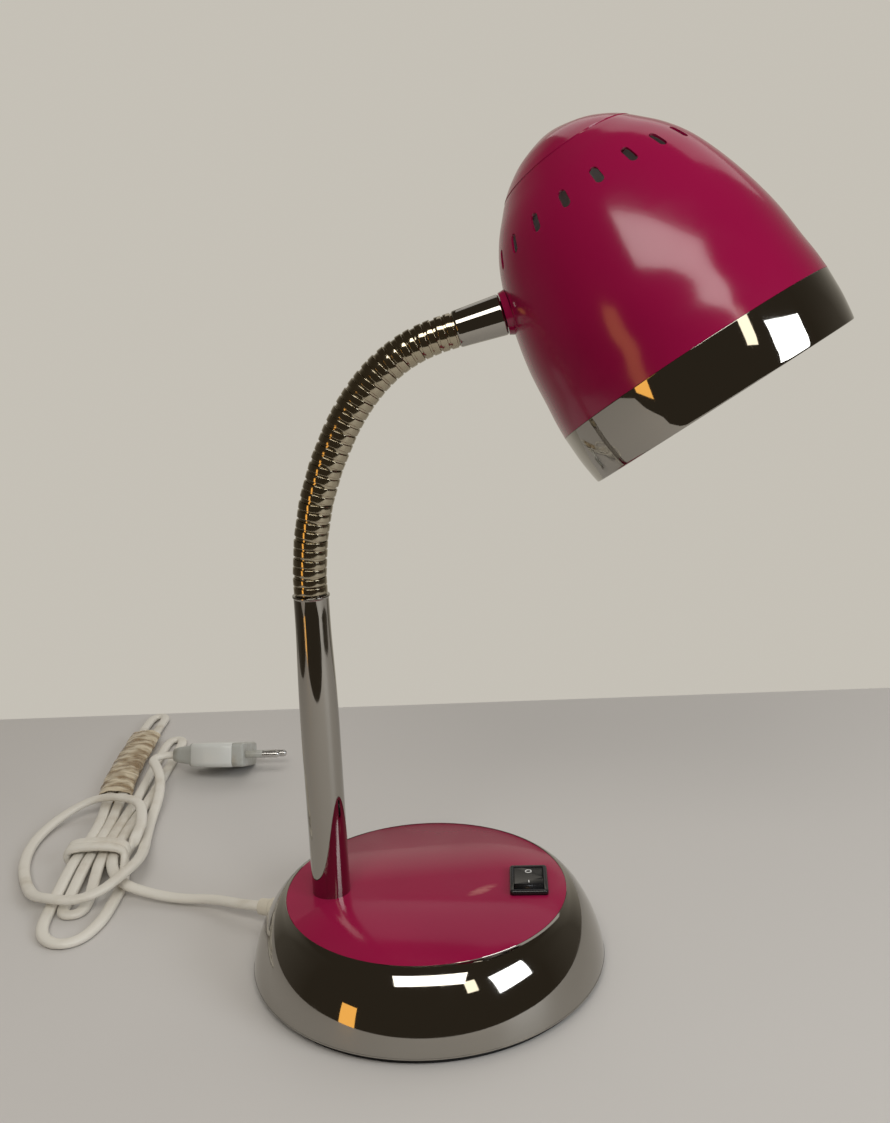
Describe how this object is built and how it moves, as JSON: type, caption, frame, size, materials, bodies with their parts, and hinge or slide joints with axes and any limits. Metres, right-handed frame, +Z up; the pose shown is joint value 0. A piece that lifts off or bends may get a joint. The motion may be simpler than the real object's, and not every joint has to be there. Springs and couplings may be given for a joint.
{
  "type": "desk lamp",
  "caption": "Gooseneck desk lamp with a round weighted chrome base, ribbed bending neck, bell shade that swivels, rocker switch and flat mains cord with plug.",
  "frame": {"origin": "centre of the foot pad's underside, on the surface the lamp stands on", "axes": "+Z up; +X from the post towards the switch and the shade; +Y to the back, away from the viewer of the picture"},
  "size_m": [0.3568, 0.3572, 0.3178],
  "materials": {
    "chrome": "mirror-bright plate",
    "magenta_paint": "gloss",
    "black_foam": "matt",
    "cast_weight": "rough",
    "plain_steel": "satin",
    "black_plastic": "gloss",
    "cream_plastic": "satin",
    "white_plastic": "satin",
    "brass": "satin",
    "holder_plastic": "satin",
    "bulb_glass": "frosted",
    "sleeve_film": "crinkled"
  },
  "bodies": {
    "base": {"base_ring": "chrome", "base_disc": "magenta_paint", "base_weight": "cast_weight", "base_cover": "plain_steel", "cover_screws": "plain_steel", "base_pad": "black_foam", "cord_bush": "cream_plastic", "base_flex": "white_plastic", "cord_clamp": "cream_plastic", "clamp_screws": "plain_steel", "terminal_block": "cream_plastic", "base_wires": "white_plastic", "post_flex": "white_plastic", "switch_housing": "black_plastic", "switch_terminals": "brass", "post": "chrome", "post_washer": "plain_steel", "post_nut": "plain_steel", "neck_plug": "plain_steel", "neck_link_01": "chrome", "cord_lead": "white_plastic", "cord_hank": "white_plastic", "cord_tail": "white_plastic", "cord_sleeve": "sleeve_film", "plug_body": "white_plastic", "plug_pins": "brass"},
    "link_02": {"neck_link_02": "chrome"},
    "link_03": {"neck_link_03": "chrome"},
    "link_04": {"neck_link_04": "chrome"},
    "link_05": {"neck_link_05": "chrome"},
    "link_06": {"neck_link_06": "chrome"},
    "link_07": {"neck_link_07": "chrome"},
    "link_08": {"neck_link_08": "chrome"},
    "link_09": {"neck_link_09": "chrome"},
    "link_10": {"neck_link_10": "chrome"},
    "link_11": {"neck_link_11": "chrome"},
    "link_12": {"neck_link_12": "chrome"},
    "link_13": {"neck_link_13": "chrome"},
    "link_14": {"neck_link_14": "chrome"},
    "link_15": {"neck_link_15": "chrome"},
    "link_16": {"neck_link_16": "chrome"},
    "neck_end": {"neck_link_17": "chrome", "ferrule": "chrome", "neck_bush": "plain_steel"},
    "head": {"shade_boss": "magenta_paint", "nipple": "plain_steel", "nipple_nut": "plain_steel", "shade_body": "magenta_paint", "shade_cap": "magenta_paint", "rim_band": "chrome", "holder_bracket": "plain_steel", "holder_body": "holder_plastic", "holder_shell": "brass", "holder_contact": "brass", "bulb_glass": "bulb_glass", "bulb_cap": "brass", "filament": "plain_steel", "head_flex": "white_plastic"},
    "rocker": {"switch_rocker": "black_plastic"},
    "lever": {"switch_lever": "brass"}
  },
  "joints": [
    {"name": "neck_bend_01", "type": "hinge", "parent": "base", "child": "link_02", "pos_m": [-0.0378, 0, 0.15926], "axis": [0, 1, 0], "range_deg": [-5.75, 1.61]},
    {"name": "neck_sway_02", "type": "hinge", "parent": "link_02", "child": "link_03", "pos_m": [-0.03709, 0, 0.16629], "axis": [0.995, 0, -0.1001], "range_deg": [-9, 9]},
    {"name": "neck_bend_03", "type": "hinge", "parent": "link_03", "child": "link_04", "pos_m": [-0.03639, 0, 0.17332], "axis": [0, 1, 0], "range_deg": [-6.09, 1.71]},
    {"name": "neck_sway_04", "type": "hinge", "parent": "link_04", "child": "link_05", "pos_m": [-0.03494, 0, 0.18024], "axis": [0.9787, 0, -0.2051], "range_deg": [-9, 9]},
    {"name": "neck_bend_05", "type": "hinge", "parent": "link_05", "child": "link_06", "pos_m": [-0.03349, 0, 0.18715], "axis": [0, 1, 0], "range_deg": [-7.34, 2.06]},
    {"name": "neck_sway_06", "type": "hinge", "parent": "link_06", "child": "link_07", "pos_m": [-0.03117, 0, 0.19383], "axis": [0.9445, 0, -0.3284], "range_deg": [-9, 9]},
    {"name": "neck_bend_07", "type": "hinge", "parent": "link_07", "child": "link_08", "pos_m": [-0.02885, 0, 0.2005], "axis": [0, 1, 0], "range_deg": [-6.37, 1.79]},
    {"name": "neck_sway_08", "type": "hinge", "parent": "link_08", "child": "link_09", "pos_m": [-0.0258, 0, 0.20688], "axis": [0.9023, 0, -0.4312], "range_deg": [-9, 9]},
    {"name": "neck_bend_09", "type": "hinge", "parent": "link_09", "child": "link_10", "pos_m": [-0.02276, 0, 0.21325], "axis": [0, 1, 0], "range_deg": [-5.55, 1.56]},
    {"name": "neck_bend_10", "type": "hinge", "parent": "link_10", "child": "link_11", "pos_m": [-0.01911, 0, 0.2193], "axis": [0, 1, 0], "range_deg": [-4.38, 1.23]},
    {"name": "neck_bend_11", "type": "hinge", "parent": "link_11", "child": "link_12", "pos_m": [-0.01501, 0, 0.22505], "axis": [0, 1, 0], "range_deg": [-5.33, 1.5]},
    {"name": "neck_bend_12", "type": "hinge", "parent": "link_12", "child": "link_13", "pos_m": [-0.01039, 0, 0.2304], "axis": [0, 1, 0], "range_deg": [-6.43, 1.81]},
    {"name": "neck_bend_13", "type": "hinge", "parent": "link_13", "child": "link_14", "pos_m": [-0.0052, 0, 0.2352], "axis": [0, 1, 0], "range_deg": [-7.17, 2.01]},
    {"name": "neck_bend_14", "type": "hinge", "parent": "link_14", "child": "link_15", "pos_m": [0.00054, 0, 0.23931], "axis": [0, 1, 0], "range_deg": [-7.83, 2.2]},
    {"name": "neck_bend_15", "type": "hinge", "parent": "link_15", "child": "link_16", "pos_m": [0.00679, 0, 0.2426], "axis": [0, 1, 0], "range_deg": [-7.45, 2.09]},
    {"name": "neck_bend_16", "type": "hinge", "parent": "link_16", "child": "neck_end", "pos_m": [0.01342, 0, 0.24505], "axis": [0, 1, 0], "range_deg": [-5.12, 1.44]},
    {"name": "shade_turn", "type": "hinge", "parent": "neck_end", "child": "head", "pos_m": [0.03732, 0, 0.25155], "axis": [0.965, 0, 0.2622], "range_deg": [-45, 45]},
    {"name": "rocker_tilt", "type": "hinge", "parent": "base", "child": "rocker", "pos_m": [0.0408, -0.0002, 0.0289], "axis": [0.9986, -0.0523, 0], "range_deg": [0, 11]},
    {"name": "lever_tilt", "type": "hinge", "parent": "base", "child": "lever", "pos_m": [0.0408, -0.0002, 0.0228], "axis": [0.9986, -0.0523, 0], "range_deg": [-11, 0]}
  ],
  "couplings": [
    {"joint": "neck_bend_03", "follows": "neck_bend_01", "ratio": 1.0599},
    {"joint": "neck_sway_04", "follows": "neck_sway_02", "ratio": 1},
    {"joint": "neck_bend_05", "follows": "neck_bend_01", "ratio": 1.2773},
    {"joint": "neck_sway_06", "follows": "neck_sway_02", "ratio": 1},
    {"joint": "neck_bend_07", "follows": "neck_bend_01", "ratio": 1.1094},
    {"joint": "neck_sway_08", "follows": "neck_sway_02", "ratio": 1},
    {"joint": "neck_bend_09", "follows": "neck_bend_01", "ratio": 0.96615},
    {"joint": "neck_bend_10", "follows": "neck_bend_13", "ratio": 0.61065},
    {"joint": "neck_bend_11", "follows": "neck_bend_13", "ratio": 0.74426},
    {"joint": "neck_bend_12", "follows": "neck_bend_13", "ratio": 0.8977},
    {"joint": "neck_bend_14", "follows": "neck_bend_13", "ratio": 1.0929},
    {"joint": "neck_bend_15", "follows": "neck_bend_13", "ratio": 1.0397},
    {"joint": "neck_bend_16", "follows": "neck_bend_13", "ratio": 0.71399},
    {"joint": "lever_tilt", "follows": "rocker_tilt", "ratio": -1}
  ]
}
